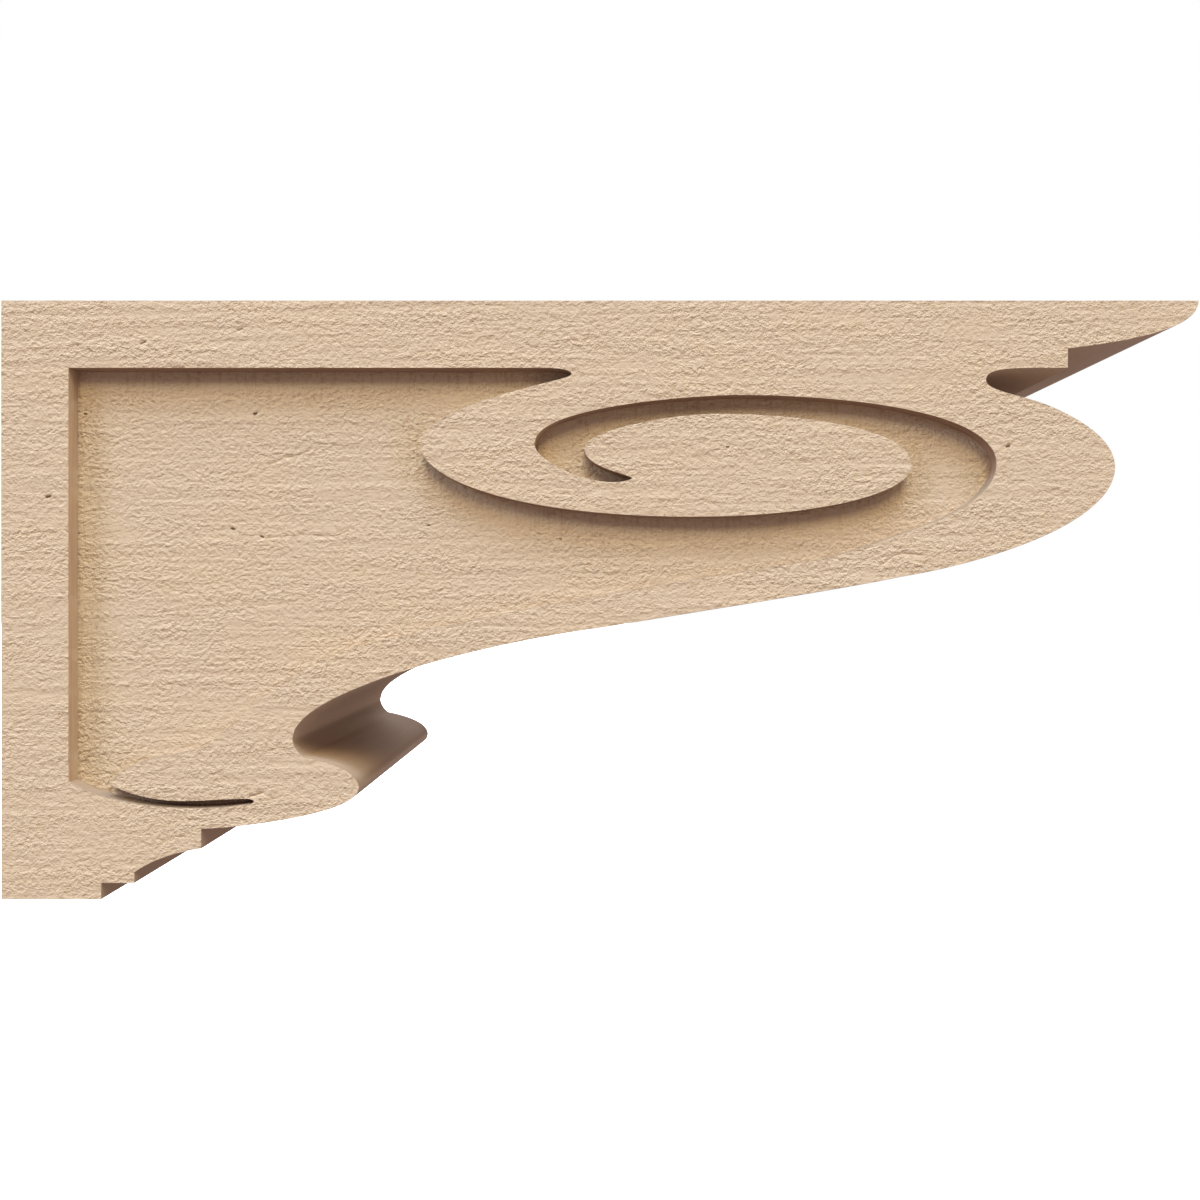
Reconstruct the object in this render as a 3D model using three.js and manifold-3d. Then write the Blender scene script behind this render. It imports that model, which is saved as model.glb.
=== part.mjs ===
// A scroll-sided corbel, cast in one piece: a flat back against the wall, a level top that carries
// the load, and an S-shaped outline below, cut straight through the width. Each side has a sunk
// field that leaves a rail, a stile, a volute and a ribbon standing proud.
// Millimetres. +X leaves the wall, +Y runs across the width, +Z is up. The origin is the middle of
// the face that meets the wall.

import * as THREE from 'three';
import { mergeVertices } from 'three/addons/utils/BufferGeometryUtils.js';
import Module from 'manifold-3d';

const wasm = await Module();
wasm.setup();

// Overall size
const length = 609.6;
const height = 304.8;
const width = 152.4;

// Sunk field of each side
const recessDepth = 6.9;
const wallStile = 34.3;

// Rounded moulding at the tip, the fillet and soffit under it, and the throat behind the soffit
const tipReach = 66.6;
const tipDrop = 24.4;
const tipFillet = 9.9;
const tipSoffit = 16.7;
const throatReach = 24.9;
const throatDrop = 6;

// Stepped foot beside the wall, counted from the underside up and from the wall out
const footReach = 50.9;
const footBlock = 8.3;
const footTread = 16.9;
const footFillet = 5.4;
const hollowReach = 34;
const hollowRise = 12.1;
const toeFillet = 10.1;

// Smoothness of the curves, and how far a cutter stands clear of the face that it cuts
const curveSteps = 14;
const overcut = 2;

const colour = 0xd5bda3;
const roughness = 0.88;

const top = height / 2;
const bottom = -height / 2;
const railLow = top - tipDrop - tipFillet;
const hollowLow = bottom + footBlock + footFillet;
const hollowHigh = hollowLow + hollowRise;
const toeLow = hollowHigh + toeFillet;

// The scroll is drawn on a grid over the panel outside the stile, between the rail and the toe. A
// point of it is counted in squares of that grid, from the panel's lower corner at the wall.
const panelLength = length - wallStile;
const panelHeight = railLow - toeLow;
const gridSquares = 100;

function inPanel([across, up]) {
  return [
    wallStile + (across / gridSquares) * panelLength,
    toeLow + (up / gridSquares) * panelHeight,
  ];
}

// Cubic curves one after another: each has two control points and its end.
function followCurves(path, curves) {
  for (const points of curves) {
    const [first, second, end] = points.map(inPanel);
    path.bezierCurveTo(...first, ...second, ...end);
  }
}

// A small moulding is one cubic curve. Its two control points are shares of the way from its start
// to its end, outward and upward.
const tipProfile = [[0, 0.62], [0.57, 0.86]];
const throatProfile = [[0.82, 0], [1, 0.36]];
const lipProfile = [[0, 0.46], [0.56, 0.56]];
const toeProfile = [[0, 0.65], [0.8, 1]];
const hollowProfile = [[0.4, 0.15], [0.76, 0.5]];

function followMoulding(path, profile, start, end) {
  const [first, second] = profile.map((share) => (
    share.map((part, axis) => start[axis] + part * (end[axis] - start[axis]))
  ));
  path.bezierCurveTo(...first, ...second, ...end);
}

// The rounded moulding drops from the tip to a fillet, a short soffit runs back from it, and the
// throat turns under the soffit to the top of the volute's nose.
const noseStart = [86.7, 91.9];

function drawTip(path) {
  const tipEnd = [length - tipReach, top - tipDrop];
  const soffitEnd = [tipEnd[0] - tipSoffit, railLow];
  const throat = [soffitEnd[0] - throatReach, railLow - throatDrop];
  followMoulding(path, tipProfile, [length, top], tipEnd);
  path.lineTo(tipEnd[0], railLow);
  path.lineTo(...soffitEnd);
  followMoulding(path, throatProfile, soffitEnd, throat);
  followMoulding(path, lipProfile, throat, inPanel(noseStart));
}

// The nose of the volute, the long belly, the deep cove and the front of the toe.
const underside = [
  [[89.2, 89.4], [92.6, 84.7], [92.6, 78.6]],
  [[92.6, 65.8], [80.3, 57.3], [73.7, 54.7]],
  [[68.4, 51.9], [52.7, 46.0], [47.6, 43.8]],
  [[35.3, 39.8], [19.8, 29.1], [19.8, 19.6]],
  [[19.8, 18.0], [20.4, 16.1], [20.8, 15.6]],
  [[22.8, 14.6], [25.7, 12.7], [25.7, 8.8]],
];

// The toe curls in to a fillet, a hollow and two square steps that end at the wall.
function drawFoot(path) {
  const toeNose = inPanel(underside.at(-1).at(-1));
  const stepOut = footReach + footTread;
  const hollowOut = stepOut + hollowReach;
  const blockHigh = bottom + footBlock;
  followMoulding(path, toeProfile, toeNose, [hollowOut, toeLow]);
  path.lineTo(hollowOut, hollowHigh);
  followMoulding(path, hollowProfile, [hollowOut, hollowHigh], [stepOut, hollowLow]);
  path.lineTo(stepOut, blockHigh);
  path.lineTo(footReach, blockHigh);
  path.lineTo(footReach, bottom);
}

function corbelOutline() {
  const outline = new THREE.Shape();
  outline.moveTo(0, bottom);
  outline.lineTo(0, top);
  outline.lineTo(length, top);
  drawTip(outline);
  followCurves(outline, underside);
  drawFoot(outline);
  outline.closePath();
  return outline;
}

// The edge of the sunk field, clockwise from the end of the rail's straight lower edge.
const fieldCorner = [0, gridSquares];
const mouthStart = [41.7, gridSquares];
const volute = [
  [[43.3, gridSquares], [44.5, 99.7], [44.5, 98.6]],
  [[44.5, 97.3], [31.1, 92.4], [31.1, 83.3]],
  [[31.1, 76.4], [38.8, 67.7], [55.5, 67.7]],
  [[65.4, 67.7], [74.6, 72.2], [74.6, 78.9]],
  [[74.6, 87.5], [64.0, 90.1], [57.5, 90.1]],
  [[53.3, 90.1], [45.6, 86.5], [45.6, 82.6]],
  [[45.6, 78.6], [49.1, 77.2], [49.9, 76.1]],
];
const channel = [
  [[47.4, 72.9], [41.2, 79.4], [41.2, 83.6]],
  [[41.2, 91.8], [55.8, 94.1], [59.4, 94.1]],
  [[67.0, 94.1], [82.1, 91.5], [82.1, 79.1]],
  [[82.1, 72.9], [78.3, 67.7], [75.3, 65.4]],
];
const ribbon = [
  [[71.6, 62.3], [69.2, 59.5], [65.3, 58.0]],
  [[53.1, 53.4], [37.5, 47.1], [25.8, 39.6]],
  [[20.1, 36.0], [16.6, 27.5], [13.0, 19.6]],
  [[10.0, 13.9], [5.5, 17.2], [3.5, 9.7]],
];
const slot = [
  [[8.1, 4.4], [10.8, 6.3], [15.7, 6.5]],
  [[16.6, 6.5], [16.6, 5.3], [15.7, 5.3]],
  [[11.4, 3.6], [4.5, 4.1], [0, 10.2]],
];

function fieldOutline() {
  const edge = new THREE.Shape();
  edge.moveTo(...inPanel(fieldCorner));
  edge.lineTo(...inPanel(mouthStart));
  for (const stretch of [volute, channel, ribbon, slot]) {
    followCurves(edge, stretch);
  }
  edge.closePath();
  return edge;
}

// A slab with the given outline, between two places across the width.
function slab(outline, from, to) {
  const geometry = new THREE.ExtrudeGeometry(outline, {
    depth: to - from,
    steps: 1,
    bevelEnabled: false,
    curveSegments: curveSteps,
  });
  geometry.rotateX(Math.PI / 2);
  geometry.translate(0, to, 0);
  return geometry;
}

function toSolid(geometry) {
  const bare = geometry.clone();
  bare.deleteAttribute('normal');
  bare.deleteAttribute('uv');
  const merged = mergeVertices(bare, 1e-4);
  return new wasm.Manifold(new wasm.Mesh({
    numProp: 3,
    vertProperties: new Float32Array(merged.attributes.position.array),
    triVerts: new Uint32Array(merged.index.array),
  }));
}

function toGeometry(solid) {
  const mesh = solid.getMesh();
  const geometry = new THREE.BufferGeometry();
  geometry.setAttribute('position', new THREE.BufferAttribute(mesh.vertProperties, 3));
  geometry.setIndex(new THREE.BufferAttribute(mesh.triVerts, 1));
  const faceted = geometry.toNonIndexed();
  faceted.computeVertexNormals();
  return faceted;
}

// The block is cut from both sides, so the two faces mirror each other.
function corbelGeometry() {
  const side = width / 2;
  const block = toSolid(slab(corbelOutline(), -side, side));
  const field = fieldOutline();
  const nearCutter = toSolid(slab(field, -side - overcut, -side + recessDepth));
  const farCutter = toSolid(slab(field, side - recessDepth, side + overcut));
  return toGeometry(block.subtract(nearCutter).subtract(farCutter));
}

const material = new THREE.MeshStandardMaterial({ color: colour, roughness, metalness: 0 });
const corbel = new THREE.Mesh(corbelGeometry(), material);
corbel.name = 'corbel';

const part = new THREE.Group();
part.add(corbel);

export default part;
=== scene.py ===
"""A scroll-sided corbel, cast in one piece: rough-sawn sides, a sunk field with a volute, and a
smooth profile cut through the width, all in a flat tan primer. Metres, +X out of the wall."""

import math
import bpy
import numpy as np
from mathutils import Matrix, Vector
from mathutils.geometry import delaunay_2d_cdt


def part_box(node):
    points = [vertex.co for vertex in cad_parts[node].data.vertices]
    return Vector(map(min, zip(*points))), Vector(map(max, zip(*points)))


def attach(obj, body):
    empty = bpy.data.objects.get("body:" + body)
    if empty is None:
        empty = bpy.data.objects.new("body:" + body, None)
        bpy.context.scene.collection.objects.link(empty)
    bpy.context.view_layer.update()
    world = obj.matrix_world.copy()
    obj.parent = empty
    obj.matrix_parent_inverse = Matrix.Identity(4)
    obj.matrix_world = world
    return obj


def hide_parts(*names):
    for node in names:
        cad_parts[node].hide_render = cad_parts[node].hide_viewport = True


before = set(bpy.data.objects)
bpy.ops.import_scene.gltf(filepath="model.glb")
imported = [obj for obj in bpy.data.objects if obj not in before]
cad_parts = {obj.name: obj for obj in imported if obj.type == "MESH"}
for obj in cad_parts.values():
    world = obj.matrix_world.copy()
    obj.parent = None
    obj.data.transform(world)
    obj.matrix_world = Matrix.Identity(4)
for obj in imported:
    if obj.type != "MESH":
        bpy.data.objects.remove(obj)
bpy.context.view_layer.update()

bl_info = {
    "name": "Scroll Corbel",
    "version": (1, 0, 0),
    "blender": (4, 5, 0),
    "location": "3D View > Sidebar > Corbel",
    "description": "Builds a cast corbel with rough-sawn sides, and a plain studio for it",
    "category": "Add Mesh",
}

MM = 0.001
NODE = "corbel"
LOW, HIGH = (np.array(corner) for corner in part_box(NODE))
LENGTH = HIGH[0] - LOW[0]
NEAR_SIDE = LOW[1]


# Sizes and colours


class CorbelSizes(bpy.types.PropertyGroup):
    """Sizes of the casting's surface."""

    arris: bpy.props.FloatProperty(
        name="Arris",
        description="How far the sharp edges are eased",
        default=0.12 * MM,
        unit="LENGTH",
    )
    draft: bpy.props.FloatProperty(
        name="Draft",
        description="How far the walls of the sunk field lean in from top to floor",
        default=0.1 * MM,
        unit="LENGTH",
    )
    grain_step: bpy.props.FloatVectorProperty(
        name="Grain step",
        description="Distance between the points of the sawn face, along the grain and across it",
        default=(2.1 * MM, 1.3 * MM),
        size=2,
        unit="LENGTH",
    )
    grain_depth: bpy.props.FloatProperty(
        name="Grain depth",
        description="Depth of the sawn grain from its crests to its hollows",
        default=0.6 * MM,
        unit="LENGTH",
    )
    outline_step: bpy.props.FloatProperty(
        name="Outline step",
        description="Distance between points along the curves",
        default=1.8 * MM,
        unit="LENGTH",
    )
    straight_step: bpy.props.FloatProperty(
        name="Straight step",
        description="Distance between points along the straight edges",
        default=3.0 * MM,
        unit="LENGTH",
    )


class CorbelFinish(bpy.types.PropertyGroup):
    """Colours of the primer, and of the painted shade and light laid on it."""

    primer: bpy.props.FloatVectorProperty(
        name="Primer",
        description="Colour of the primer on the crests of the grain",
        default=(0.588, 0.450, 0.321),
        size=3,
        subtype="COLOR",
    )
    # Painted shade: the primer darkened in the creases of the grain, and in darker streaks on the
    # floor close to the walls that stand over it.
    grain_shade: bpy.props.FloatVectorProperty(
        name="Hollows",
        description="Colour of the primer in the hollows of the grain",
        default=(0.45, 0.30, 0.18),
        size=3,
        subtype="COLOR",
    )
    # The primer's own yellower patches; on the walls of the sunk field that face out of the
    # building's wall, painted light.
    warm_tone_and_lit_walls: bpy.props.FloatVectorProperty(
        name="Warm patches",
        description="Colour of the yellower patches of primer",
        default=(0.63, 0.46, 0.295),
        size=3,
        subtype="COLOR",
    )
    # Painted shade: the walls of the sunk field are darkened, except where they face out of the
    # building's wall.
    wall: bpy.props.FloatVectorProperty(
        name="Walls",
        description="Colour of the walls of the sunk field",
        default=(0.35, 0.22, 0.145),
        size=3,
        subtype="COLOR",
    )
    # Painted shade on the walls and eased edges that face up, where the lights from above would
    # brighten them.
    bank: bpy.props.FloatVectorProperty(
        name="Lower walls",
        description="Colour of those walls of the sunk field that face up",
        default=(0.275, 0.193, 0.127),
        size=3,
        subtype="COLOR",
    )
    # Painted shade, yellower, on the floor close to the walls that stand over it.
    overhang_shade: bpy.props.FloatVectorProperty(
        name="Beside the walls",
        description="Colour of the field's floor close to the walls",
        default=(0.52, 0.378, 0.195),
        size=3,
        subtype="COLOR",
    )
    # Painted shade down in the narrow places of the sunk field.
    shut: bpy.props.FloatVectorProperty(
        name="Narrow places",
        description="Colour down in the narrow ends of the sunk field",
        default=(0.19, 0.13, 0.10),
        size=3,
        subtype="COLOR",
    )
    # Painted shade on the profile where it faces up.
    upper: bpy.props.FloatVectorProperty(
        name="Upper edges",
        description="Colour of the profile where it faces up",
        default=(0.32, 0.215, 0.135),
        size=3,
        subtype="COLOR",
    )
    # Painted shade down in the pits and cracks.
    pit: bpy.props.FloatVectorProperty(
        name="Pits",
        description="Colour down in the pits and cracks",
        default=(0.16, 0.09, 0.05),
        size=3,
        subtype="COLOR",
    )
    roughness: bpy.props.FloatProperty(
        name="Roughness",
        description="Roughness of the primer",
        default=0.86,
        subtype="FACTOR",
    )


class StudioSettings(bpy.types.PropertyGroup):
    """The camera, the floor and the lights."""

    camera_distance: bpy.props.FloatProperty(
        name="Camera distance",
        description="From the camera to the near side",
        default=376.8 * MM,
        unit="LENGTH",
    )
    frame_width: bpy.props.FloatProperty(
        name="Frame width",
        description="Width of the picture at the near side",
        default=610.2 * MM,
        unit="LENGTH",
    )
    floor_drop: bpy.props.FloatProperty(
        name="Floor drop",
        description="From the underside down to the floor",
        default=0.5,
        unit="LENGTH",
    )
    brightness: bpy.props.FloatProperty(
        name="Brightness",
        description="Strength of all the lights together",
        default=1.0,
        subtype="FACTOR",
    )


# Outlines, taken from the frame

# Points nearer than this are one point.
JOIN = 0.01 * MM

# An outline has a corner where it turns by more than the first, or where one step is so many
# times as long as the next.
CORNER = math.radians(22)
UNEVEN = 3.0

# On a tight bend, the turn between two points in radians, and the least step between them.
TIGHT_TURN = 0.30
TIGHT_STEP = 0.45 * MM


def flat_outlines(node, across):
    """Closed outlines of the flat faces that a CAD node has at one place across its width.

    The faces' triangles are found by their y, corners that agree are joined, and the edges that
    only one triangle has are followed round. Each outline is an array of (x, z) with its inside
    on the left, and the outline with the largest area comes first.
    """
    mesh = node.data
    places = np.empty(3 * len(mesh.vertices), np.float32)
    mesh.vertices.foreach_get("co", places)
    places = places.reshape(-1, 3).astype(float)
    corners = np.empty(len(mesh.loops), np.int32)
    mesh.loops.foreach_get("vertex_index", corners)
    corners = corners.reshape(-1, 3)
    flat = np.all(np.abs(places[corners][:, :, 1] - across) < JOIN, axis=1)
    cells = np.round(places[:, [0, 2]] / JOIN).astype(np.int64)
    points, index = np.unique(cells, axis=0, return_inverse=True)
    triangles = index.reshape(-1)[corners[flat]]
    edges = np.concatenate([triangles[:, [0, 1]], triangles[:, [1, 2]], triangles[:, [2, 0]]])
    forward = edges[:, 0] * len(points) + edges[:, 1]
    backward = edges[:, 1] * len(points) + edges[:, 0]
    follows = dict(edges[~np.isin(forward, backward)].tolist())
    outlines = []
    while follows:
        start, here = follows.popitem()
        order = [start]
        while here != start:
            order.append(here)
            here = follows.pop(here)
        outlines.append(points[order] * JOIN)
    outlines = [loop if area(loop) > 0 else loop[::-1] for loop in outlines]
    return sorted(outlines, key=area, reverse=True)


def area(loop):
    """Signed area inside a loop, which is positive where the inside is on the left."""
    ahead = np.roll(loop, -1, axis=0)
    return 0.5 * float(np.sum(loop[:, 0] * ahead[:, 1] - loop[:, 1] * ahead[:, 0]))


def spread(loop, curve_step, straight_step):
    """The loop with its curves rounded out and its points spread anew.

    It is parted at its corners. A stretch of two points is a straight edge. Any other is a curve
    through its points, a cubic between each two with the slopes of the parabola through each
    three, and its points lie as far apart as a share of its radius, within limits.
    """
    ahead = np.roll(loop, -1, axis=0) - loop
    length = np.hypot(*ahead.T)
    heading = np.arctan2(ahead[:, 1], ahead[:, 0])
    turn = np.angle(np.exp(1j * (heading - np.roll(heading, 1))))
    ratio = length / np.roll(length, 1)
    parted = (np.abs(turn) > CORNER) | (ratio > UNEVEN) | (ratio < 1 / UNEVEN)
    marks = np.flatnonzero(parted)
    loop = np.roll(loop, -marks[0], axis=0)
    turn = np.roll(turn, -marks[0])
    marks = np.append(marks - marks[0], len(loop))
    loop = np.concatenate([loop, loop[:1]])
    turn = np.append(turn, turn[0])
    return np.concatenate([
        straight_points(loop[a], loop[b], straight_step) if b == a + 1
        else curve_points(loop[a:b + 1], turn[a:b + 1], curve_step)
        for a, b in zip(marks[:-1], marks[1:])
    ])


def straight_points(start, end, step):
    """Even points from start, included, to end, left out."""
    count = max(1, math.ceil(np.hypot(*(end - start)) / step))
    return start + (end - start) * (np.arange(count) / count)[:, None]


def curve_points(points, turn, step):
    """Points along the smooth curve through the given ones, from the first, without the last."""
    gap = np.hypot(*np.diff(points, axis=0).T)
    along = np.concatenate([[0], np.cumsum(gap)])
    secant = np.diff(points, axis=0) / gap[:, None]
    slope = np.empty_like(points)
    weight = (gap[:-1] / (gap[:-1] + gap[1:]))[:, None]
    slope[1:-1] = secant[:-1] * (1 - weight) + secant[1:] * weight
    slope[0] = 2 * secant[0] - slope[1]
    slope[-1] = 2 * secant[-1] - slope[-2]
    bend = np.zeros(len(points))
    bend[1:-1] = np.abs(turn[1:-1]) / (0.5 * (gap[:-1] + gap[1:]))
    bend[0], bend[-1] = bend[1], bend[-2]
    wanted = np.clip(TIGHT_TURN / np.maximum(bend, 1e-6), TIGHT_STEP, step)
    density = 1 / wanted
    total = np.concatenate([[0], np.cumsum(0.5 * gap * (density[:-1] + density[1:]))])
    count = max(1, math.ceil(total[-1]))
    where = np.interp(np.arange(count) * total[-1] / count, total, along)
    piece = np.clip(np.searchsorted(along, where, side="right") - 1, 0, len(gap) - 1)
    wide = gap[piece][:, None]
    part = (where - along[piece])[:, None] / wide
    square, cube = part**2, part**3
    return (
        (2 * cube - 3 * square + 1) * points[piece]
        + (cube - 2 * square + part) * wide * slope[piece]
        + (3 * square - 2 * cube) * points[piece + 1]
        + (cube - square) * wide * slope[piece + 1]
    )


def inset(loop, distance):
    """The loop moved to its left by a distance, with mitred corners."""
    ahead = np.roll(loop, -1, axis=0) - loop
    ahead /= np.hypot(*ahead.T)[:, None]
    left = np.stack([-ahead[:, 1], ahead[:, 0]], axis=1)
    before = np.roll(left, 1, axis=0)
    cosine = np.sum(left * before, axis=1, keepdims=True)
    return loop + distance * (left + before) / np.maximum(1 + cosine, 0.5)


# The fewest points measured at a time. Measuring all of them at once would take much memory.
CHUNK = 2000


def in_chunks(points, measure):
    """measure(points), worked out for a few thousand points at a time."""
    parts = np.array_split(points, max(1, len(points) // CHUNK))
    return np.concatenate([measure(part) for part in parts])


def is_inside(points, loop):
    """Which points lie inside a loop: those from which a line to the left crosses it an odd
    number of times."""
    ahead = np.roll(loop, -1, axis=0)

    def crossings(part):
        x, z = part[:, :1], part[:, 1:]
        spans = (loop[:, 1] > z) != (ahead[:, 1] > z)
        rise = np.where(ahead[:, 1] == loop[:, 1], 1.0, ahead[:, 1] - loop[:, 1])
        at = loop[:, 0] + (z - loop[:, 1]) * (ahead[:, 0] - loop[:, 0]) / rise
        return np.sum(spans & (at < x), axis=1) % 2 == 1

    return in_chunks(points, crossings)


def distance_to(points, loop):
    """Distance from each point to the nearest point of a loop."""

    def nearest(part):
        return np.sqrt(np.min(
            (part[:, :1] - loop[:, 0]) ** 2 + (part[:, 1:] - loop[:, 1]) ** 2, axis=1
        ))

    return in_chunks(points, nearest)


# The length of edge within reach is measured in reaches. It is 4/3 beside one straight edge, and
# narrow places start above that.
NARROW_REACH = 9.5 * MM
NARROW_START = 1.45
NARROW_RANGE = 0.8


def narrowness(points, loop):
    """How closed in each point is, from 0 by one edge of the loop or none to 1 between two,
    for the painted shade of narrow places.

    It is the length of edge within reach, where a nearer stretch counts for more.
    """
    length = np.hypot(*(np.roll(loop, -1, axis=0) - loop).T)

    def edge_within(part):
        square = (part[:, :1] - loop[:, 0]) ** 2 + (part[:, 1:] - loop[:, 1]) ** 2
        return np.clip(1 - square / NARROW_REACH**2, 0, 1) @ length / NARROW_REACH

    return np.clip((in_chunks(points, edge_within) - NARROW_START) / NARROW_RANGE, 0, 1)


# Relief of the sawn faces

# Seeds of the grain, on the near side and on the far side
SIDE_SEEDS = (11, 47)

# Large odd numbers that scatter the whole numbers multiplied by them
COLUMN_SCATTER = 374761393
ROW_SCATTER = 668265263
SEED_SCATTER = 2246822519
LAST_SCATTER = 1274126177


def hashed_angle(column, row, seed):
    """A direction for each crossing of a lattice, mixed from its whole numbers."""
    mixed = (
        column.astype(np.uint32) * np.uint32(COLUMN_SCATTER)
        + row.astype(np.uint32) * np.uint32(ROW_SCATTER)
        + np.uint32(seed * SEED_SCATTER % 2**32)
    )
    mixed = (mixed ^ (mixed >> np.uint32(13))) * np.uint32(LAST_SCATTER)
    mixed = mixed ^ (mixed >> np.uint32(16))
    return mixed.astype(float) * (2 * math.pi / 2**32)


def ripple(u, v, seed):
    """Smooth noise from about -1 to 1: each crossing of a unit lattice has a slope in its own
    direction, and the slopes are blended by a fade of the fifth power."""
    column, row = np.floor(u).astype(np.int64), np.floor(v).astype(np.int64)
    du, dv = u - column, v - row

    def slope(right, up):
        angle = hashed_angle(column + right, row + up, seed)
        return np.cos(angle) * (du - right) + np.sin(angle) * (dv - up)

    fade_u = du**3 * (du * (6 * du - 15) + 10)
    fade_v = dv**3 * (dv * (6 * dv - 15) + 10)
    below = slope(0, 0) * (1 - fade_u) + slope(1, 0) * fade_u
    above = slope(0, 1) * (1 - fade_u) + slope(1, 1) * fade_u
    return 1.5 * (below * (1 - fade_v) + above * fade_v)


# Lengths of the grain's forms along it and across it, and its lean in metres up for each out
CHIP_SIZE = (7.0 * MM, 3.0 * MM)
ROW_SIZE = (70.0 * MM, 6.0 * MM)
PATCH_SIZE = (60.0 * MM, 22.0 * MM)
GRAIN_LEAN = 0.10


def sawn_depth(points, seed):
    """Depth of the sawn grain, from 0 on its crests to 1 in its hollows.

    Long rows lie along the saw's path, and short leaning chips lie on them, both stronger in
    some patches than in others.
    """
    x, z = points.T
    lean = z - GRAIN_LEAN * x
    wander = ripple(x / PATCH_SIZE[0], z / PATCH_SIZE[1], seed + 1)
    chips = ripple(x / CHIP_SIZE[0] + wander, lean / CHIP_SIZE[1], seed + 2)
    small = ripple(1.9 * x / CHIP_SIZE[0], 1.8 * lean / CHIP_SIZE[1] + wander, seed + 3)
    rows = ripple(x / ROW_SIZE[0], z / ROW_SIZE[1] + 0.4 * wander, seed + 4)
    patch = 0.75 + 0.35 * ripple(x / PATCH_SIZE[0] + 9, z / PATCH_SIZE[1], seed + 5)
    height = patch * (0.42 * chips + 0.22 * small) + 0.25 * rows
    return np.clip(0.5 - 0.5 * height, 0, 1)


# Pits and cracks of the near side, in millimetres along it and up from its middle. Each has its
# half width and depth, and the ends of a pit or the bends of a crack.
MARKS = (
    (0.8, 0.7, ((511.8, 78.0), (513.2, 78.3))),
    (0.7, 0.5, ((215.5, 38.7), (216.6, 38.5))),
    (0.7, 0.5, ((283.9, 31.7), (284.9, 31.5))),
    (0.7, 0.5, ((369.3, 77.8), (370.4, 77.8))),
    (0.8, 0.4, ((71.2, 130.4), (73.4, 131.4))),
    (0.8, 0.35, ((120.6, 137.2), (122.7, 138.0))),
    (0.9, 0.7, ((23.0, 52.2), (24.8, 52.8))),
    (0.8, 0.6, ((37.8, 96.4), (38.8, 96.2))),
    (0.8, 0.8, ((125.6, 96.3), (126.8, 96.6))),
    (0.8, 0.7, ((113.9, 37.0), (115.3, 36.6))),
    (0.8, 0.6, ((129.2, 33.0), (130.3, 32.4))),
    (0.8, 0.6, ((33.6, 34.7), (34.9, 34.3))),
    (0.8, 0.20, ((132.4, 70.6), (137.0, 71.2), (141.0, 73.4), (147.6, 74.4), (154.7, 77.4))),
    (0.6, 0.14, ((132.0, 31.8), (143.8, 33.2), (153.4, 33.8), (167.0, 32.6), (174.8, 36.2))),
    (0.6, 0.18, ((174.2, 34.4), (173.2, 31.6), (175.4, 29.0), (174.6, 26.4))),
    (0.8, 0.22, ((448.0, 17.5), (454.2, 22.4), (459.0, 23.6), (468.5, 22.8))),
    (0.8, 0.16, ((440.0, 30.5), (446.0, 30.0), (449.5, 27.8))),
    (0.7, 0.30, ((126.3, -100.2), (133.4, -98.1))),
)


def mark_depth(points):
    """Depth of the pits and cracks at each point, which ends smoothly at their half width."""
    deepest = np.zeros(len(points))
    for reach, depth, bends in MARKS:
        off = distance_to_line(points, np.array(bends) * MM) / (reach * MM)
        deepest = np.maximum(deepest, depth * MM * np.clip(1 - off**2, 0, 1) ** 2)
    return deepest


def distance_to_line(points, bends):
    """Distance from each point to a line with bends."""
    nearest = np.full(len(points), np.inf)
    for start, end in zip(bends[:-1], bends[1:]):
        way = end - start
        part = np.clip((points - start) @ way / (way @ way), 0, 1)
        nearest = np.minimum(nearest, np.hypot(*(points - start - part[:, None] * way).T))
    return nearest


MARK_STEP = 0.42 * MM


def mark_points():
    """Closely set points in and round the pits and cracks, in staggered rows."""
    clusters = []
    for reach, _, bends in MARKS:
        bends = np.array(bends) * MM
        low, high = bends.min(0) - 1.2 * reach * MM, bends.max(0) + 1.2 * reach * MM
        columns = np.arange(low[0], high[0], MARK_STEP)
        rows = np.arange(low[1], high[1], 0.87 * MARK_STEP)
        x, z = np.meshgrid(columns, rows)
        x = x + 0.5 * MARK_STEP * (np.arange(len(z)) % 2)[:, None]
        points = np.stack([x, z], axis=-1).reshape(-1, 2)
        clusters.append(points[distance_to_line(points, bends) < 1.15 * reach * MM])
    return np.concatenate(clusters)


# Fillings

# Shares of a step: how far points are shaken, and how clear they stand of marks and of edges
SHAKE = 0.22
MARK_CLEARANCE = 0.6
EDGE_CLEARANCE = 0.7


def field_of_points(region, holes, sizes, seed, marked):
    """Staggered points inside a region and outside its holes, clear of their edges, and closer
    ones round the marks."""
    along, up = sizes.grain_step
    low, high = region.min(0), region.max(0)
    rows = np.arange(low[1], high[1], up)
    columns = np.arange(low[0], high[0], along)
    x, z = np.meshgrid(columns, rows)
    x = x + 0.5 * along * (np.arange(len(rows)) % 2)[:, None]
    shake = np.random.default_rng(seed).uniform(-SHAKE, SHAKE, (2, *x.shape))
    points = np.stack([x + shake[0] * along, z + shake[1] * up], axis=-1).reshape(-1, 2)
    points = points[is_inside(points, region)]
    for hole in holes:
        points = points[~is_inside(points, hole)]
    if marked:
        close = mark_points()
        close = close[is_inside(close, region)]
        for hole in holes:
            close = close[~is_inside(close, hole)]
        clear = distance_to(points, close) > MARK_CLEARANCE * up
        points = np.concatenate([close, points[clear]])
    for edge in [region, *holes]:
        points = points[distance_to(points, edge) > EDGE_CLEARANCE * up]
    return points


# The kind of net that has only the triangles inside its edges, and how near two of its points
# may be, in millimetres
INSIDE_EDGES = 1
LEAST_GAP = 1e-5


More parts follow.
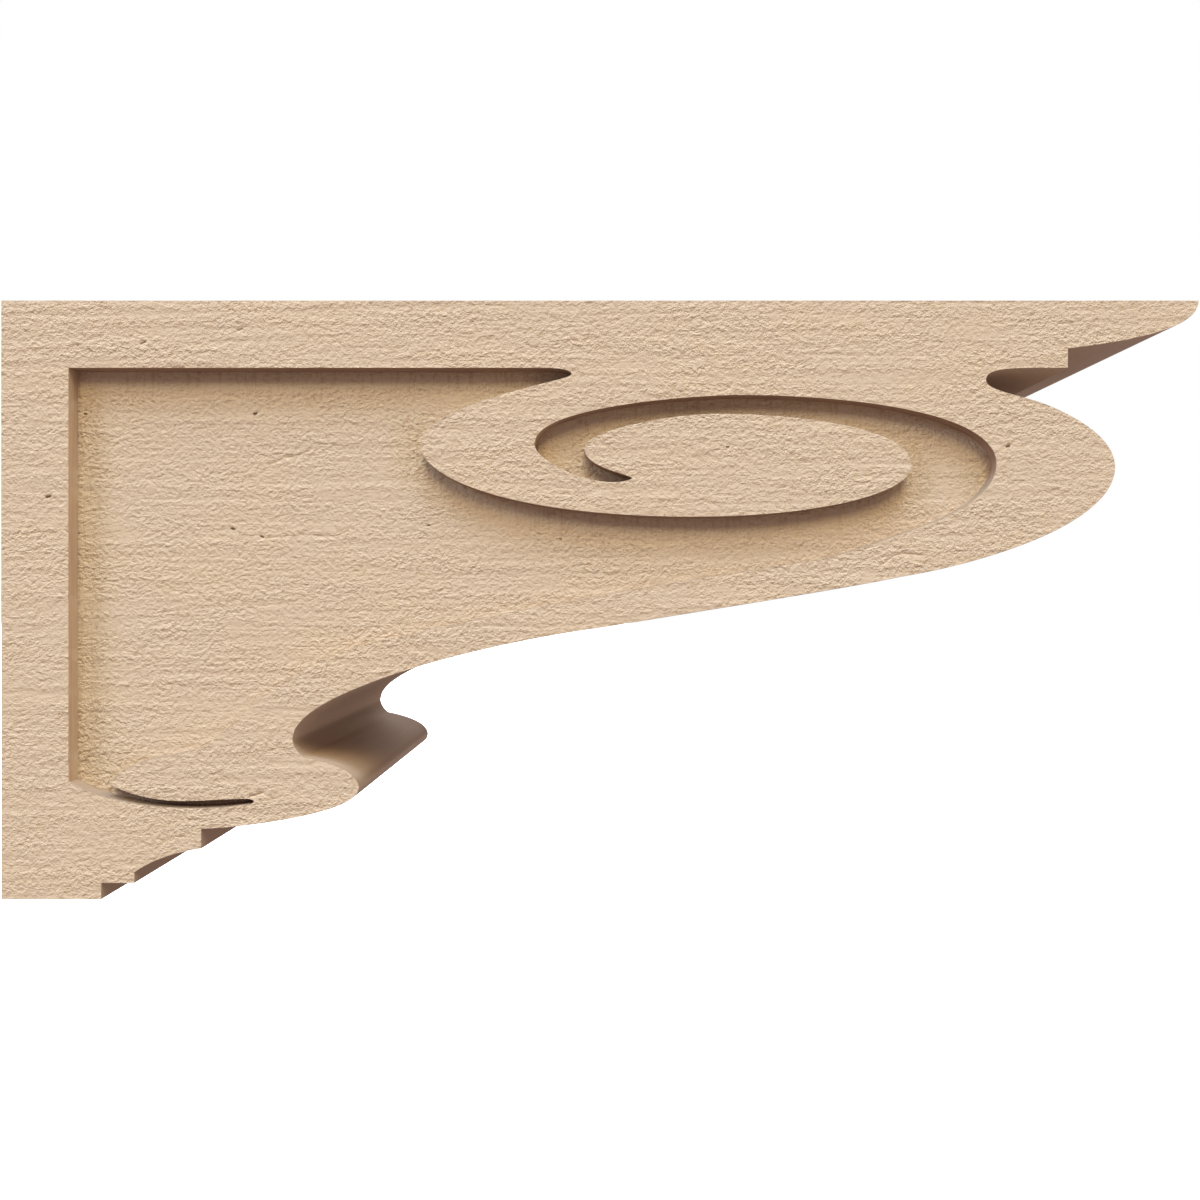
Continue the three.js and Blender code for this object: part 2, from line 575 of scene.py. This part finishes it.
def filled(loops, points):
    """Triangles between loops and the points among them: a Delaunay net that keeps the loops.

    The first loop is the outer edge, and the rest are holes in it. Returns indices into the
    loops' points, in order, followed by the other points.
    """
    starts = np.cumsum([0] + [len(loop) for loop in loops])
    edges = np.concatenate([
        np.stack([np.arange(len(loop)), np.roll(np.arange(len(loop)), -1)], axis=1) + start
        for loop, start in zip(loops, starts)
    ])
    plan = np.concatenate([*loops, points])
    places, _, faces, origins, _, _ = delaunay_2d_cdt(
        (plan / MM).tolist(), edges.tolist(), [], INSIDE_EDGES, LEAST_GAP
    )
    if len(places) != len(plan):
        raise RuntimeError("two points of the sawn face fell on each other")
    origin = np.array([first[0] for first in origins])
    triangles = origin[np.array(faces)]
    corners = plan[triangles]
    side_a, side_b = corners[:, 1] - corners[:, 0], corners[:, 2] - corners[:, 0]
    turned = side_a[:, 0] * side_b[:, 1] < side_a[:, 1] * side_b[:, 0]
    triangles[turned] = triangles[turned][:, ::-1]
    edge_only = np.all(triangles < starts[-1], axis=1)
    middle = corners[edge_only].mean(1)
    kept = is_inside(middle, loops[0])
    for hole in loops[1:]:
        kept &= ~is_inside(middle, hole)
    drop = np.zeros(len(triangles), bool)
    drop[np.flatnonzero(edge_only)[~kept]] = True
    return triangles[~drop]


def strip(first, second):
    """Triangles between two rings of as many points. With the second ring below the first, they
    face right of the way that the rings run."""
    here = np.arange(len(first))
    ahead = np.roll(here, -1)
    return np.concatenate([
        np.stack([first[here], second[here], second[ahead]], axis=1),
        np.stack([first[here], second[ahead], first[ahead]], axis=1),
    ])


# The corbel


class Skin:
    """Points and triangles gathered from the corbel's surfaces.

    Each point has marks from 0 to 1: on a sawn face, on a wall of the sunk field, how near it is
    to a wall that stands over it, and how closed in it is; the last two set where shade is
    painted. The mark for pits is their depth in millimetres. Crisp points are those along the
    foot of the walls.
    """

    def __init__(self):
        self.places = []
        self.marks = {"sawn": [], "sunk": [], "pit": [], "near": [], "shut": []}
        self.triangles = []
        self.crisp = []
        self.count = 0

    def add_points(self, plan, across, **marks):
        """Adds points by their (x, z) and their place across the width, with the marks that are
        given and 0 for the others. Returns their indices."""
        across = np.broadcast_to(across, len(plan))
        self.places.append(np.column_stack([plan[:, 0], across, plan[:, 1]]))
        for name, values in self.marks.items():
            values.append(np.broadcast_to(marks.get(name, 0.0), len(plan)))
        self.count += len(plan)
        return np.arange(self.count - len(plan), self.count)

    def add_triangles(self, triangles):
        self.triangles.append(triangles)


# How far the painted shade of the sunk field's walls reaches over its floor, and how much of an
# edge's length may run outward along the bottom of the field where its wall still stands over
# the floor
EDGE_REACH = 22.0 * MM
OVERHUNG_RUN = 0.3

# Seeds of the points that fill the raised face and the floor
FACE_SEED = 5
FLOOR_SEED = 6


def make_side(skin, sizes, outline, field, depth, far):
    """One side: the raised face, the walls of the sunk field and its floor.

    The far side is the same surface turned over, so its triangles run the other way. Returns
    the ring that the profile joins.
    """
    arris, draft = sizes.arris, sizes.draft
    seed = SIDE_SEEDS[far]
    sign = -1 if far else 1
    face = HIGH[1] if far else LOW[1]

    def across(inward):
        return face + sign * inward

    def pit(plan):
        return 0.0 if far else mark_depth(plan) / MM

    def relief(plan):
        return sizes.grain_depth * sawn_depth(plan, seed) + pit(plan) * MM

    def add_triangles(triangles):
        skin.add_triangles(triangles[:, ::-1] if far else triangles)

    edge, brim = inset(outline, arris), inset(field, -arris)
    grain = field_of_points(edge, [brim], sizes, FACE_SEED, not far)
    raised = np.concatenate([edge, brim, grain])
    face_points = skin.add_points(raised, across(relief(raised)), sawn=1, pit=pit(raised))
    add_triangles(face_points[filled([edge, brim], grain)])

    foot = inset(field, draft)
    bed = inset(field, draft + arris)
    floor_grain = field_of_points(bed, [], sizes, FLOOR_SEED, not far)
    sunk = np.concatenate([bed, floor_grain])
    bed_depth = depth - 0.5 * sizes.grain_depth
    rise = np.roll(foot, -1, axis=0) - foot
    # near sets the painted shade on the floor below the walls that stand over it, and deepens the
    # grain there
    overhung = foot[rise[:, 0] < OVERHUNG_RUN * np.hypot(*rise.T)]
    near = np.clip(1 - distance_to(sunk, overhung) / EDGE_REACH, 0, 1)
    floor_points = skin.add_points(
        sunk, across(bed_depth + relief(sunk)), sawn=1, pit=pit(sunk), near=near,
        shut=narrowness(sunk, field),
    )
    add_triangles(floor_points[filled([bed], floor_grain)])
    skin.crisp.append(floor_points[:len(bed)])

    rim = face_points[len(edge):len(edge) + len(brim)]
    # Narrowness sets the painted shade of the narrow places
    shut = narrowness(field, field)
    wall_top = skin.add_points(field, across(arris + relief(field)), sunk=1, shut=0.6 * shut)
    wall_foot = skin.add_points(foot, across(depth - arris), sunk=1, shut=shut)
    wall = [rim, wall_top, wall_foot, floor_points[:len(bed)]]
    for upper, lower in zip(wall[:-1], wall[1:]):
        add_triangles(strip(upper, lower)[:, ::-1])
    eased = skin.add_points(outline, across(arris + relief(outline)))
    add_triangles(strip(face_points[:len(edge)], eased))
    return eased


# Places across the width, from either side, where the profile has rings of points
PROFILE_PLACES = (5.0 * MM, 20.0 * MM, 45.0 * MM)


def make_corbel(sizes):
    """The whole surface: both sides, and the profile carried across the width between them."""
    outline, field = flat_outlines(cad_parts[NODE], LOW[1])
    depth = field_depth()
    outline = spread(outline, sizes.outline_step, sizes.straight_step)
    field = spread(field, sizes.outline_step, sizes.straight_step)
    skin = Skin()
    near_ring = make_side(skin, sizes, outline, field, depth, far=False)
    far_ring = make_side(skin, sizes, outline, field, depth, far=True)
    places = [LOW[1] + inward for inward in PROFILE_PLACES]
    places += [0.0] + [HIGH[1] - inward for inward in reversed(PROFILE_PLACES)]
    rings = [near_ring] + [skin.add_points(outline, place) for place in places] + [far_ring]
    for first, second in zip(rings[:-1], rings[1:]):
        skin.add_triangles(strip(first, second))
    return skin


def field_depth():
    """Depth of the sunk field: the step from the near side to the next flat face behind it."""
    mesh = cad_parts[NODE].data
    places = np.empty(3 * len(mesh.vertices), np.float32)
    mesh.vertices.foreach_get("co", places)
    across = np.unique(np.round(places[1::3] / JOIN).astype(np.int64)) * JOIN
    return float(across[1] - across[0])


SHARP_TURN = math.radians(35)


def mark_sharp_edges(mesh, crisp_points):
    """Makes the shading soft but for edges that turn sharply or join two crisp points."""
    mesh.polygons.foreach_set("use_smooth", np.ones(len(mesh.polygons), bool))
    mesh.set_sharp_from_angle(angle=SHARP_TURN)
    crisp = np.zeros(len(mesh.vertices), bool)
    crisp[crisp_points] = True
    ends = np.empty(2 * len(mesh.edges), np.int32)
    mesh.edges.foreach_get("vertices", ends)
    sharp = np.empty(len(mesh.edges), bool)
    mesh.edges.foreach_get("use_edge_sharp", sharp)
    sharp |= crisp[ends.reshape(-1, 2)].all(axis=1)
    mesh.edges.foreach_set("use_edge_sharp", sharp)


def store_facing(mesh):
    """Stores how far each face's corners face out of the building's wall and up, from -1 to 1."""
    normals = np.empty(3 * len(mesh.loops), np.float32)
    mesh.corner_normals.foreach_get("vector", normals)
    for axis, facing in ((0, "outward"), (2, "upward")):
        attribute = mesh.attributes.new(facing, "FLOAT", "CORNER")
        attribute.data.foreach_set("value", np.ascontiguousarray(normals[axis::3]))


def mesh_object(name, skin):
    """A Blender object from gathered points and triangles, with their marks as attributes."""
    places = np.concatenate(skin.places)
    triangles = np.concatenate(skin.triangles)
    mesh = bpy.data.meshes.new(name)
    mesh.vertices.add(len(places))
    mesh.vertices.foreach_set("co", places.astype(np.float32).ravel())
    mesh.loops.add(3 * len(triangles))
    mesh.loops.foreach_set("vertex_index", triangles.astype(np.int32).ravel())
    mesh.polygons.add(len(triangles))
    mesh.polygons.foreach_set("loop_start", np.arange(0, 3 * len(triangles), 3, dtype=np.int32))
    mesh.update(calc_edges=True)
    mark_sharp_edges(mesh, np.concatenate(skin.crisp))
    for mark, values in skin.marks.items():
        attribute = mesh.attributes.new(mark, "FLOAT", "POINT")
        attribute.data.foreach_set("value", np.concatenate(values).astype(np.float32))
    mesh.validate()
    store_facing(mesh)
    piece = bpy.data.objects.new(name, mesh)
    bpy.context.scene.collection.objects.link(piece)
    return piece


# Shader maths


class Value:
    """A node's output. Arithmetic with numbers and other outputs adds Math nodes to its tree."""

    def __init__(self, tree, socket):
        self.tree = tree
        self.socket = socket

    def maths(self, operation, *values):
        return self.tree.node("ShaderNodeMath", {"operation": operation}, dict(enumerate(values)))

    def __add__(self, other):
        return self.maths("ADD", self, other)

    def __sub__(self, other):
        return self.maths("SUBTRACT", self, other)

    def __rsub__(self, other):
        return self.maths("SUBTRACT", other, self)

    def size(self):
        return self.maths("ABSOLUTE", self)

    def __mul__(self, other):
        return self.maths("MULTIPLY", self, other)

    __radd__ = __add__
    __rmul__ = __mul__


class Tree:
    """The node tree of a material or a world."""

    def __init__(self, owner):
        owner.use_nodes = True
        self.nodes = owner.node_tree.nodes
        self.links = owner.node_tree.links
        self.nodes.clear()

    def node(self, kind, settings=None, sockets=None, output=0):
        """Adds a node of a kind. settings are its own properties. sockets are values or outputs
        by the input's name or number. Returns the wanted output."""
        made = self.nodes.new(kind)
        for name, value in (settings or {}).items():
            setattr(made, name, value)
        for name, value in (sockets or {}).items():
            if isinstance(value, Value):
                self.links.new(value.socket, made.inputs[name])
            else:
                made.inputs[name].default_value = value
        return Value(self, made.outputs[output]) if made.outputs else None

    def mix(self, factor, first, second):
        """A colour between two colours."""
        return self.node(
            "ShaderNodeMix", {"data_type": "RGBA"}, {0: factor, 6: first, 7: second}, output=2
        )

    def vector(self, operation, *values):
        """Vector Math on places."""
        return self.node(
            "ShaderNodeVectorMath", {"operation": operation}, dict(enumerate(values))
        )

    def noise(self, place, scale, output="Fac", **sockets):
        """Noise from 0 to 1 on a place whose axes are stretched by scale."""
        stretched = self.vector("MULTIPLY", place, scale)
        return self.node(
            "ShaderNodeTexNoise", None, {"Vector": stretched, "Scale": 1.0, **sockets}, output
        )

    def ramp(self, value, low, high):
        """0 below low and 1 above high, or the other way round where low is the larger."""
        return self.node(
            "ShaderNodeMapRange",
            {"interpolation_type": "SMOOTHSTEP"},
            {"Value": value, "From Min": low, "From Max": high},
        )


def rgba(colour):
    return (*colour, 1.0)


# The scale of a noise is the number of its forms in a metre along each axis.


def sawn_grain(tree, place, drift, marks):
    """Height of the fine grain, and the strength of the painted shade in its creases, which is
    stronger close to the walls that stand over it.

    Leaning chips have folds among them, and rows and lines follow the saw's path. They are
    stronger on rough patches and weaker on smooth blotches, and the chips are deeper close to
    the walls that stand over them.
    """
    sawn, near = marks["sawn"], marks["near"]
    leaning = tree.node("ShaderNodeVectorRotate", {"rotation_type": "Y_AXIS"}, {
        "Vector": drift, "Angle": GRAIN_LEAN,
    })
    chips = tree.noise(leaning, (420, 130, 480), Detail=2.0, Roughness=0.65) - 0.5
    folds = (tree.noise(leaning, (150, 60, 260), Detail=1.0, Roughness=0.5) * 2 - 1).size()
    rows = tree.noise(place, (11, 11, 200), Detail=1.0, Roughness=0.5) - 0.5
    lines = tree.noise(place, (16, 16, 480), Detail=1.5, Roughness=0.6) - 0.5
    rough = tree.ramp(tree.noise(place, (22, 22, 50), Detail=2.0), 0.35, 0.65)
    smooth = tree.ramp(tree.noise(place, (90, 90, 120), Detail=1.0), 0.68, 0.74)
    force = (1 - smooth * 0.7) * (0.65 + rough * 0.35 + rows * 1.2) * sawn
    height = (chips * (near * 0.8 + 1.5) + (folds - 0.3) * 0.25) * force
    height = height + (rows * 0.6 + lines * 0.25) * sawn
    # Painted shade in the creases, stronger close to the walls that stand over them
    crease_shade = tree.ramp(chips, -0.02, -0.2) * force * (near * 1.6 + 1)
    return height, crease_shade


def face_colour(tree, finish, place, drift, crease_shade, marks):
    """Colour of the sawn faces: painted shade browns the creases, the pits and cracks and the eased
    upper edges, and lies yellower, with darker streaks, close to the walls that stand over it.
    The warm patches are the primer's own tone."""
    near = marks["near"]
    patches = tree.noise(place, (14, 14, 30), Detail=3.0, Roughness=0.6)
    shade_streaks = tree.ramp(tree.noise(drift, (620, 620, 55), Detail=2.0), 0.52, 0.66)
    # Painted shade in the creases of the grain
    face = tree.mix(crease_shade * 0.4, rgba(finish.primer), rgba(finish.grain_shade))
    face = tree.mix(tree.ramp(patches, 0.3, 0.8) * 0.3, face, rgba(finish.warm_tone_and_lit_walls))
    # Painted shade, yellower, close to the walls that stand over the floor
    face = tree.mix(near * 0.4, face, rgba(finish.overhang_shade))
    # Darker streaks of painted shade there
    face = tree.mix(shade_streaks * near * 0.6, face, rgba(finish.grain_shade))
    # Painted shade down in the pits and cracks
    face = tree.mix(tree.ramp(marks["pit"], 0.1, 0.5) * 0.8, face, rgba(finish.pit))
    # Painted shade on eased edges that face up, where the lights from above would brighten them
    return tree.mix(tree.ramp(marks["upward"], 0.3, 0.7), face, rgba(finish.bank))


def wall_colour(tree, finish, place, marks):
    """Colour of the walls of the sunk field, painted by the way they face: brown as painted shade,
    but lighter with grooves, as painted light, where they face out of the building's wall, and
    another brown of painted shade where they face up."""
    outward, upward = marks["outward"], marks["upward"]
    grooves = tree.noise(place, (30, 600, 14), Detail=2.0, Roughness=0.6) * 1.4 - 0.75
    faces_out = tree.ramp(outward, 0.1, 0.9) + grooves
    faces_up = tree.ramp(upward, 0.0, 0.5) * (1 - tree.ramp(outward, 0.1, 0.7) * 0.5)
    # Painted shade on the walls, and painted light where they face out of the building's wall
    wall = tree.mix(faces_out, rgba(finish.wall), rgba(finish.warm_tone_and_lit_walls))
    # Darker painted shade where the walls face up
    return tree.mix(faces_up, wall, rgba(finish.bank))


def profile_colour(tree, finish, place, marks):
    """Colour of the profile: primer, and painted shade, browner in streaks across the width, where
    it faces up.
    """
    streaks = tree.noise(place, (190, 6, 190), Detail=3.0, Roughness=0.6) * 0.3 - 0.15
    faces_up = tree.ramp(marks["upward"] + marks["outward"] * 0.15, -0.1, 0.6) + streaks
    # Painted shade where the profile faces up
    return tree.mix(faces_up, rgba(finish.primer), rgba(finish.upper))


GRAIN_HEIGHT = 0.75 * MM


def primer_material(finish):
    """Flat tan primer with painted shade and light, worked out from places on the object and from
    its attributes.
    """
    material = bpy.data.materials.new("tan_primer")
    tree = Tree(material)
    place = tree.node("ShaderNodeTexCoord", output="Object")
    marks = {
        name: tree.node("ShaderNodeAttribute", {"attribute_name": name}, output="Fac")
        for name in ("sawn", "sunk", "pit", "near", "shut", "outward", "upward")
    }
    drift = tree.noise(place, (60, 60, 90), output="Color", Detail=1.0)
    drift = tree.vector("MULTIPLY_ADD", drift, (0.003, 0.003, 0.0015), place)
    height, crease_shade = sawn_grain(tree, place, drift, marks)
    face = face_colour(tree, finish, place, drift, crease_shade, marks)
    wall = wall_colour(tree, finish, place, marks)
    profile = profile_colour(tree, finish, place, marks)
    colour = tree.mix(marks["sawn"], tree.mix(marks["sunk"], profile, wall), face)
    # Painted shade down in the narrow places of the sunk field
    colour = tree.mix(marks["shut"] * 0.5, colour, rgba(finish.shut))
    bump = tree.node(
        "ShaderNodeBump", None, {"Strength": 1.0, "Distance": GRAIN_HEIGHT, "Height": height}
    )
    shader = tree.node("ShaderNodeBsdfPrincipled", None, {
        "Base Color": colour,
        "Roughness": finish.roughness,
        "Specular IOR Level": 0.2,
        "Normal": bump,
    })
    tree.node("ShaderNodeOutputMaterial", None, {"Surface": shader})
    return material


class CORBEL_OT_cast(bpy.types.Operator):
    """Make the corbel's surface and its primer"""

    bl_idname = "corbel.cast"
    bl_label = "Cast Corbel"

    def execute(self, context):
        scene = context.scene
        piece = mesh_object("corbel_casting", make_corbel(scene.corbel_sizes))
        piece.data.materials.append(primer_material(scene.corbel_finish))
        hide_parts(NODE)
        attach(piece, "root")
        return {"FINISHED"}


# The studio


def make_camera(studio):
    """The camera looks square on to the near side, on the axis through the middle of that side."""
    data = bpy.data.cameras.new("camera")
    data.sensor_width = 36.0
    data.lens = data.sensor_width * studio.camera_distance / studio.frame_width
    data.clip_start = 0.01
    camera = bpy.data.objects.new("camera", data)
    camera.location = (LENGTH / 2, NEAR_SIDE - studio.camera_distance, 0)
    camera.rotation_euler = (math.radians(90), 0, 0)
    bpy.context.scene.collection.objects.link(camera)
    bpy.context.scene.camera = camera


# Name, degrees to the right of the camera, degrees up, softness in degrees, strength and colour
LIGHTS = (
    ("top_light", 0, 70, 24, 2.06, (0.51, 0.75, 1.0)),
    ("front_light", 0, 50, 30, 2.06, (1.0, 0.89, 0.59)),
    ("left_light", -67, 60, 14, 1.75, (0.51, 0.69, 1.0)),
    ("side_light", -65, 25, 12, 1.05, (0.69, 0.81, 1.0)),
    ("high_light", 30, 75, 16, 1.34, (0.60, 0.76, 1.0)),
    ("right_light", 67, 50, 30, 0.72, (1.0, 0.92, 0.70)),
    ("back_light", 180, 25, 50, 2.7, (0.9, 0.93, 1.0)),
)


def make_light(name, right, up, softness, strength, colour):
    """A distant soft light, from a direction given against the way to the camera."""
    right, up = math.radians(right), math.radians(up)
    toward = Vector((math.sin(right) * math.cos(up), -math.cos(right) * math.cos(up), math.sin(up)))
    data = bpy.data.lights.new(name, "SUN")
    data.energy = strength
    data.color = colour
    data.angle = math.radians(softness)
    light = bpy.data.objects.new(name, data)
    light.rotation_euler = toward.to_track_quat("Z", "Y").to_euler()
    bpy.context.scene.collection.objects.link(light)


def make_floor(studio):
    """A wide pale floor below the corbel. Its light doesn't reach the corbel's underside."""
    side = 20.0
    level = LOW[2] - studio.floor_drop
    corners = [(x * side, y * side, level) for x, y in ((-1, -1), (1, -1), (1, 1), (-1, 1))]
    mesh = bpy.data.meshes.new("floor")
    mesh.from_pydata(corners, [], [(0, 1, 2, 3)])
    material = bpy.data.materials.new("pale_floor")
    tree = Tree(material)
    shader = tree.node("ShaderNodeBsdfPrincipled", None, {
        "Base Color": (0.9, 0.9, 0.9, 1),
        "Roughness": 0.9,
        "Emission Color": (1, 1, 1, 1),
        "Emission Strength": 1.0,
        "Specular IOR Level": 0.0,
    })
    tree.node("ShaderNodeOutputMaterial", None, {"Surface": shader})
    mesh.materials.append(material)
    floor = bpy.data.objects.new("floor", mesh)
    floor.visible_diffuse = False
    floor.visible_glossy = False
    bpy.context.scene.collection.objects.link(floor)


def make_surroundings(studio):
    """White behind the object, and a weak light from all round on it."""
    world = bpy.data.worlds.new("studio")
    tree = Tree(world)
    camera_sees = tree.node("ShaderNodeLightPath", output="Is Camera Ray")
    glow = tree.node("ShaderNodeBackground", None, {
        "Color": (0.367, 0.302, 0.307, 1), "Strength": studio.brightness,
    })
    white = tree.node("ShaderNodeBackground", None, {"Color": (1, 1, 1, 1), "Strength": 1.0})
    mixed = tree.node("ShaderNodeMixShader", None, {0: camera_sees, 1: glow, 2: white})
    tree.node("ShaderNodeOutputWorld", None, {"Surface": mixed})
    bpy.context.scene.world = world


class CORBEL_OT_stage(bpy.types.Operator):
    """Make the camera, the pale floor and the soft lights"""

    bl_idname = "corbel.stage"
    bl_label = "Set Stage"

    def execute(self, context):
        studio = context.scene.corbel_studio
        make_camera(studio)
        make_floor(studio)
        make_surroundings(studio)
        for name, right, up, softness, strength, colour in LIGHTS:
            make_light(name, right, up, softness, strength * studio.brightness, colour)
        context.scene.view_settings.view_transform = "Standard"
        return {"FINISHED"}


class CORBEL_PT_panel(bpy.types.Panel):
    """Buttons and values for the corbel"""

    bl_label = "Corbel"
    bl_idname = "CORBEL_PT_panel"
    bl_space_type = "VIEW_3D"
    bl_region_type = "UI"
    bl_category = "Corbel"

    def draw(self, context):
        scene = context.scene
        for settings in (scene.corbel_sizes, scene.corbel_finish, scene.corbel_studio):
            box = self.layout.box()
            for name in type(settings).__annotations__:
                box.prop(settings, name)
        self.layout.operator(CORBEL_OT_cast.bl_idname)
        self.layout.operator(CORBEL_OT_stage.bl_idname)


CLASSES = (
    CorbelSizes,
    CorbelFinish,
    StudioSettings,
    CORBEL_OT_cast,
    CORBEL_OT_stage,
    CORBEL_PT_panel,
)


def register():
    for cls in CLASSES:
        bpy.utils.register_class(cls)
    bpy.types.Scene.corbel_sizes = bpy.props.PointerProperty(type=CorbelSizes)
    bpy.types.Scene.corbel_finish = bpy.props.PointerProperty(type=CorbelFinish)
    bpy.types.Scene.corbel_studio = bpy.props.PointerProperty(type=StudioSettings)


def unregister():
    del bpy.types.Scene.corbel_studio
    del bpy.types.Scene.corbel_finish
    del bpy.types.Scene.corbel_sizes
    for cls in reversed(CLASSES):
        bpy.utils.unregister_class(cls)


def main():
    register()
    bpy.ops.corbel.cast()
    bpy.ops.corbel.stage()


if __name__ == "__main__":
    main()
